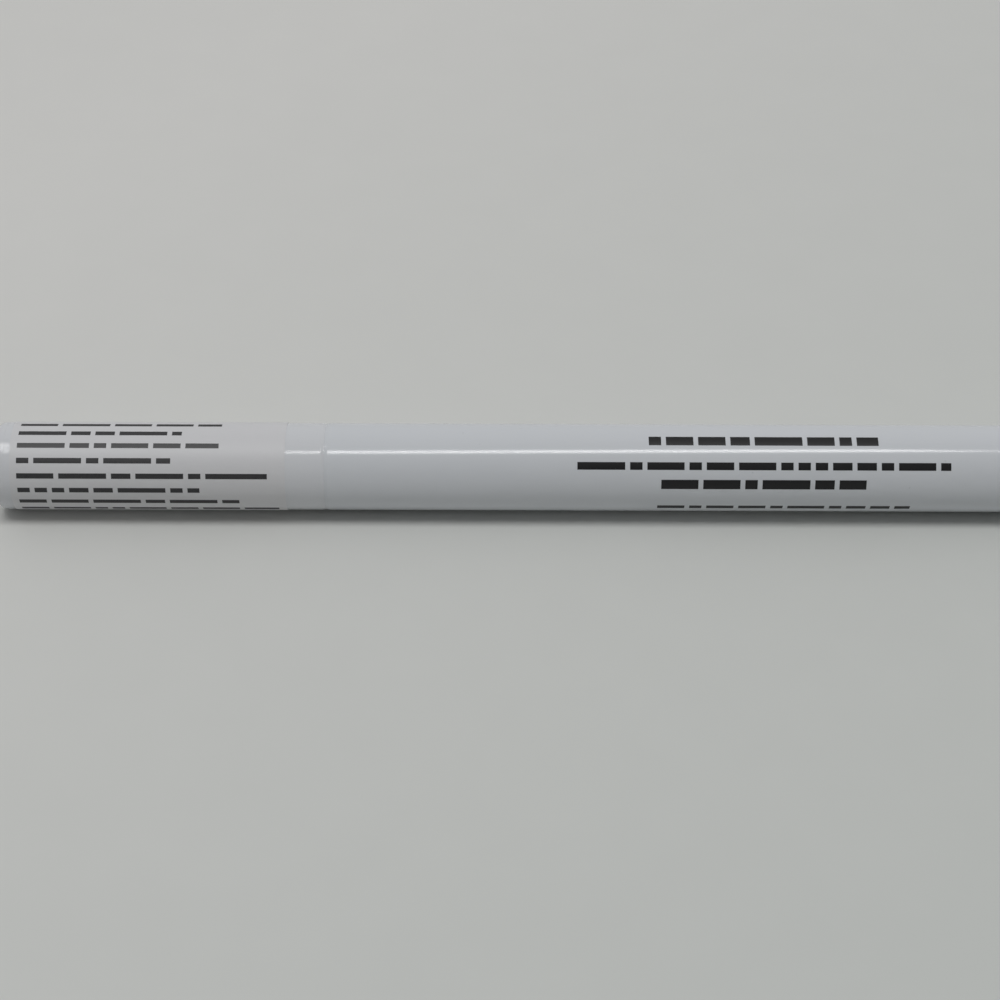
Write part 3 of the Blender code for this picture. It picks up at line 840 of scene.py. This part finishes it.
def printed_row(name, radius, lean, height, runs):
    """One row of curved bars: an arc drawn along X, with the gaps between the bars removed.

    lean is the row's angle above the horizontal, seen from the front of the pen.
    """
    bpy.ops.object.select_all(action="DESELECT")
    bpy.ops.mesh.primitive_circle_add(
        vertices=print_facets,
        radius=radius,
        location=(runs[0][0], 0, axis_height),
        rotation=(0, math.pi / 2, 0),
    )
    row = bpy.context.object
    row.name = row.data.name = name
    bpy.ops.object.transform_apply()
    middle = Vector((0, -math.cos(lean), math.sin(lean)))
    reach = math.cos(height / 2 / radius)
    axis_point = Vector((0, 0, axis_height))

    def outside(co):
        across = co - axis_point
        return Vector((0, across.y, across.z)).normalized().dot(middle) < reach

    bpy.ops.object.mode_set(mode="EDIT")
    bpy.ops.mesh.select_mode(type="VERT")
    select_where(row, outside)
    bpy.ops.mesh.delete(type="VERT")
    bpy.ops.mesh.select_all(action="SELECT")
    edges = [x for run in runs for x in run]
    for x, next_x in zip(edges, edges[1:]):
        bpy.ops.mesh.extrude_region_move(TRANSFORM_OT_translate={"value": (next_x - x, 0, 0)})
    mesh = bmesh.from_edit_mesh(row.data)
    for face in mesh.faces:
        x = face.calc_center_median().x
        face.select_set(not any(start < x < stop for start, stop in runs))
    bmesh.update_edit_mesh(row.data)
    bpy.ops.mesh.select_mode(type="FACE")
    bpy.ops.mesh.delete(type="FACE")
    bpy.ops.mesh.select_mode(type="VERT")
    mesh = bmesh.from_edit_mesh(row.data)
    for vert in mesh.verts:
        vert.select_set(len(vert.link_edges) == 2)
    bmesh.update_edit_mesh(row.data)
    bpy.ops.mesh.bevel(offset=bar_corner, segments=3, affect="VERTICES")
    bpy.ops.object.mode_set(mode="OBJECT")
    first = row.data.polygons[0]
    if Vector((0, *first.normal[1:])).dot(middle) < 0:
        row.data.flip_normals()
    proud = row.modifiers.new("proud", "SOLIDIFY")
    proud.thickness = ink_thickness
    proud.offset = 1
    bpy.ops.object.modifier_apply(modifier="proud")
    bpy.ops.object.shade_smooth_by_angle(angle=smooth_below)
    return row


def joined(name, rows):
    """Rows joined into one printed piece."""
    bpy.ops.object.select_all(action="DESELECT")
    for row in rows:
        row.select_set(True)
    bpy.context.view_layer.objects.active = rows[0]
    bpy.ops.object.join()
    rows[0].name = rows[0].data.name = name
    return rows[0]


draw = random.Random(11)
film_margin = 0.0008
film_rows = (0.0229, 0.0185, 0.0228, 0.0174, 0.0283, 0.0206, 0.0250, 0.0294)
row_height = 0.00066
first_lean = 107.0
row_lean = 20.1
rows = []
for index, length in enumerate(film_rows):
    lean = math.radians(first_lean - row_lean * index)
    runs = bar_run(film_low.x + film_margin, length, draw)
    rows.append(printed_row(f"film_row_{index}", film_outside, lean, row_height, runs))
film_print = joined("film_print", rows)
film_print.data.materials.append(film_ink)
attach(film_print, "cap")

# Each row: its lean in degrees, its shift along the pen, its length and its height.
barrel_print_middle = (barrel_low.x + plug_high.x) / 2
barrel_rows = (
    (77.5, 0, 0.0260, 0.0013),
    (42.0, 0, 0.0422, 0.0009),
    (17.5, 0, 0.0232, 0.0012),
    (-24.0, 0.0025, 0.0288, 0.0007),
)
rows = []
for index, (lean, shift, length, height) in enumerate(barrel_rows):
    runs = bar_run(barrel_print_middle + shift - length / 2, length, draw)
    rows.append(printed_row(f"barrel_row_{index}", tube_radius, math.radians(lean), height, runs))
barrel_print = joined("barrel_print", rows)
barrel_print.data.materials.append(barrel_ink)
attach(barrel_print, "pen")

# Table
# The pale grey surface that the pen lies on, matte. Its colour carries a painted falloff of
# light: lighter towards the upper left, darker towards the lower right. It isn't part of the pen.
table_size = 4.0
slope_way = (1.0, -0.97, 0)
slope_reach = 0.141
bpy.ops.object.select_all(action="DESELECT")
bpy.ops.mesh.primitive_plane_add(size=table_size, location=(0, 0, 0))
table = bpy.context.object
table.name = table.data.name = "table"
table_uniform = {"Roughness": 0.9, "Specular IOR Level": 0.2}
table_grey, tree, shader, place = material_of("table_grey", table_uniform)
# Painted light falloff: a lighter colour at the upper left is mixed into a darker one at the lower
# right, in place of light that weakens across the table.
slope = node(tree, "VectorMath", {0: place, 1: slope_way}, operation="DOT_PRODUCT")["Value"]
falloff_share = node(
    tree, "MapRange", {"Value": slope, "From Min": -slope_reach, "From Max": slope_reach}
)["Result"]
painted_falloff_colour = node(
    tree,
    "Mix",
    {"Factor": falloff_share, "A": (0.725, 0.725, 0.706, 1), "B": (0.580, 0.604, 0.583, 1)},
    data_type="RGBA",
)["Result"]
mottle = node(tree, "TexNoise", {"Vector": place, "Scale": 120, "Detail": 3})["Fac"]
mottle_share = ranged(tree, mottle, 0.985, 1.015)
tree.links.new(shade(tree, painted_falloff_colour, mottle_share), shader["Base Color"])
table.data.materials.append(table_grey)

# Light
# A lamp strip nearly overhead that draws the thin line along the barrel and the shadow, a
# second lamp to the left that is only seen as a gleam on the cap's end, and soft light all
# round, brighter from behind and dim where the photographer stands in the way.
level_in_front = 0.22
level_behind = 0.54
level_seen = 0.47
shade_from = 0.70
shade_full = 0.92
shade_level = 0.35
world = bpy.data.worlds.new("soft_room")
bpy.context.scene.world = world
world.use_nodes = True
tree = world.node_tree
way = node(tree, "TexCoord", {})["Generated"]
behind = node(tree, "SeparateXYZ", {"Vector": way})["Y"]
level = node(
    tree,
    "MapRange",
    {"Value": behind, "From Min": -1, "To Min": level_in_front, "To Max": level_behind},
)["Result"]
toward = node(tree, "VectorMath", {0: way, 1: -sight}, operation="DOT_PRODUCT")["Value"]
shadowed = node(
    tree,
    "MapRange",
    {
        "Value": toward,
        "From Min": shade_from,
        "From Max": shade_full,
        "To Min": 1,
        "To Max": shade_level,
    },
)["Result"]
rays = node(tree, "LightPath", {})
seen = rays["Is Camera Ray"]
for other in ("Is Glossy Ray", "Is Transmission Ray"):
    seen = node(tree, "Math", {0: seen, 1: rays[other]}, operation="ADD")["Value"]
level = node(tree, "Mix", {"Factor": seen, "A": level, "B": level_seen})["Result"]
level = product(tree, level, shadowed)
tree.links.new(level, tree.nodes["Background"].inputs["Strength"])
tree.nodes["Background"].inputs["Color"].default_value = (1, 1, 1, 1)

# Each lamp: its name, place, turn in degrees, size, power, and whether only gloss shows it.
for name, place, turn, size, power, in_gloss_only in (
    ("strip_lamp", (-0.0257, -0.296, 1.8), (9.5, 0, 32.3), (0.975, 0.200), 13.0, False),
    ("end_lamp", (-0.56, -0.03, 1.8), (1, -17, 0), (0.34, 0.78), 12.5, True),
):
    bpy.ops.object.light_add(
        type="AREA", location=place, rotation=[math.radians(angle) for angle in turn]
    )
    lamp = bpy.context.object
    lamp.name = lamp.data.name = name
    lamp.data.shape = "RECTANGLE"
    lamp.data.size, lamp.data.size_y = size
    lamp.data.energy = power
    lamp.visible_diffuse = not in_gloss_only

bpy.context.scene.view_settings.view_transform = "Standard"
